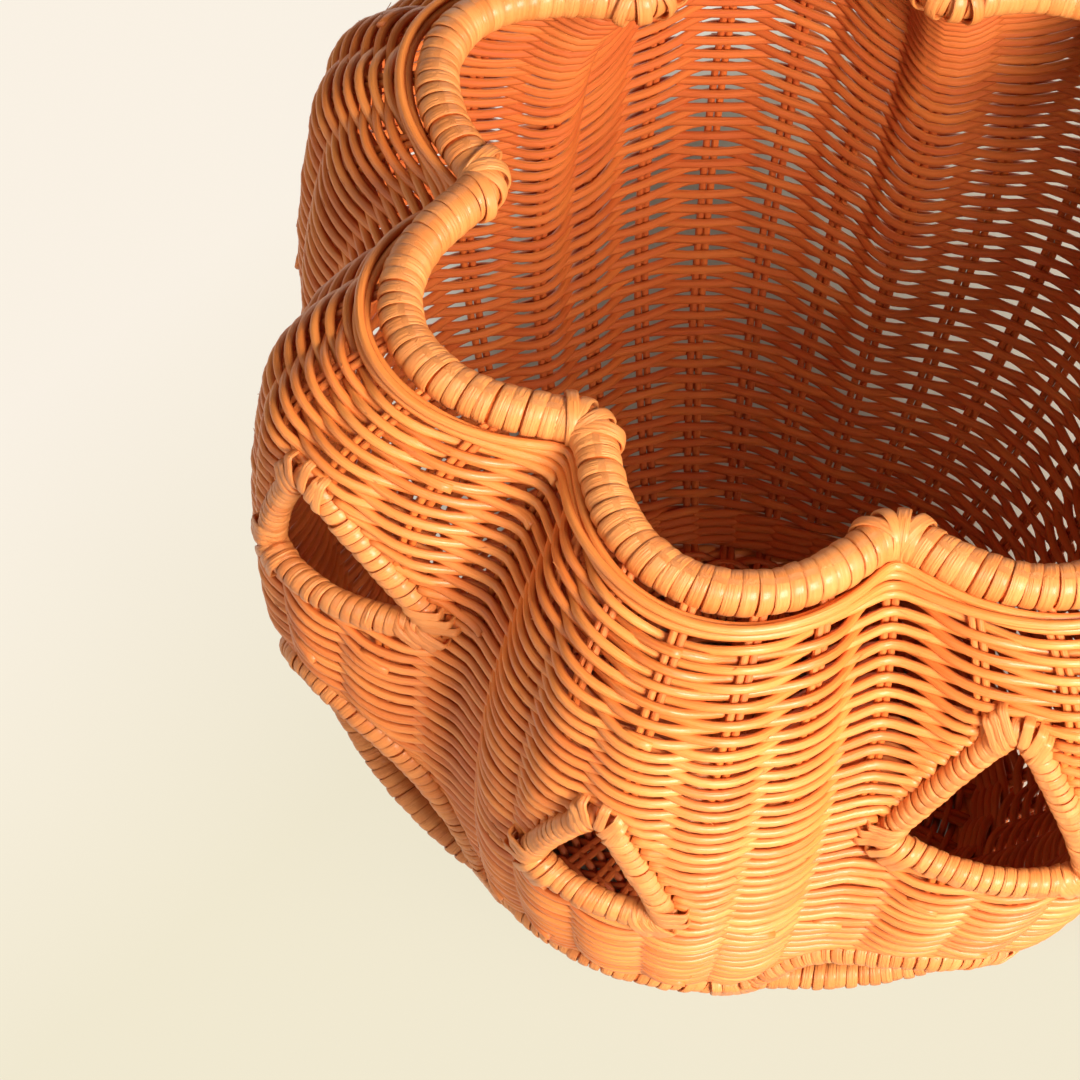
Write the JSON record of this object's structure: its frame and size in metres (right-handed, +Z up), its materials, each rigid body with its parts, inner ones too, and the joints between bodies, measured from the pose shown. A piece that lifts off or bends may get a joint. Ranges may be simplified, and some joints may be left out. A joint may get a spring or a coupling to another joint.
{
  "type": "pumpkin basket",
  "caption": "Open-topped woven cane basket in the shape of a lobed pumpkin, with a jack-o'-lantern face of openings edged in wrapped cane.",
  "frame": {"origin": "centre of the bounding box's bottom face, on the surface that the foot stands on", "axes": "+Z up out of the basket's mouth, -Y out of the middle of the face, +X towards the face's right-hand eye as seen from outside"},
  "size_m": [0.3118, 0.308, 0.2516],
  "materials": {
    "wrapped_cane": "orange stained flat cane, satin",
    "woven_cane": "orange stained round cane, satin",
    "stake_cane": "orange stained round cane, matt",
    "core_cane": "stout cane, matt",
    "base_cane": "orange stained round cane, matt"
  },
  "bodies": {
    "root": {"rim_core": "core_cane", "rim_binding": "wrapped_cane", "top_waling": "woven_cane", "side_weave": "woven_cane", "upset_waling": "woven_cane", "stake_01": "stake_cane", "stake_02": "stake_cane", "stake_03": "stake_cane", "stake_04": "stake_cane", "stake_05": "stake_cane", "stake_06": "stake_cane", "stake_07": "stake_cane", "stake_08": "stake_cane", "stake_09": "stake_cane", "stake_10": "stake_cane", "stake_11": "stake_cane", "stake_12": "stake_cane", "stake_13": "stake_cane", "stake_14": "stake_cane", "stake_15": "stake_cane", "stake_16": "stake_cane", "stake_17": "stake_cane", "stake_18": "stake_cane", "stake_19": "stake_cane", "stake_20": "stake_cane", "stake_21": "stake_cane", "stake_22": "stake_cane", "stake_23": "stake_cane", "stake_24": "stake_cane", "stake_25": "stake_cane", "stake_26": "stake_cane", "stake_27": "stake_cane", "stake_28": "stake_cane", "stake_29": "stake_cane", "stake_30": "stake_cane", "stake_31": "stake_cane", "stake_32": "stake_cane", "stake_33": "stake_cane", "stake_34": "stake_cane", "stake_35": "stake_cane", "stake_36": "stake_cane", "stake_37": "stake_cane", "stake_38": "stake_cane", "stake_39": "stake_cane", "stake_40": "stake_cane", "stake_41": "stake_cane", "stake_42": "stake_cane", "left_eye_rod": "core_cane", "left_eye_binding": "wrapped_cane", "right_eye_rod": "core_cane", "right_eye_binding": "wrapped_cane", "nose_rod": "core_cane", "nose_binding": "wrapped_cane", "mouth_rod": "core_cane", "mouth_binding": "wrapped_cane", "foot_border": "woven_cane", "base_weave": "base_cane", "base_spokes_slit": "base_cane", "base_spokes_through": "base_cane"}
  },
  "joints": []
}
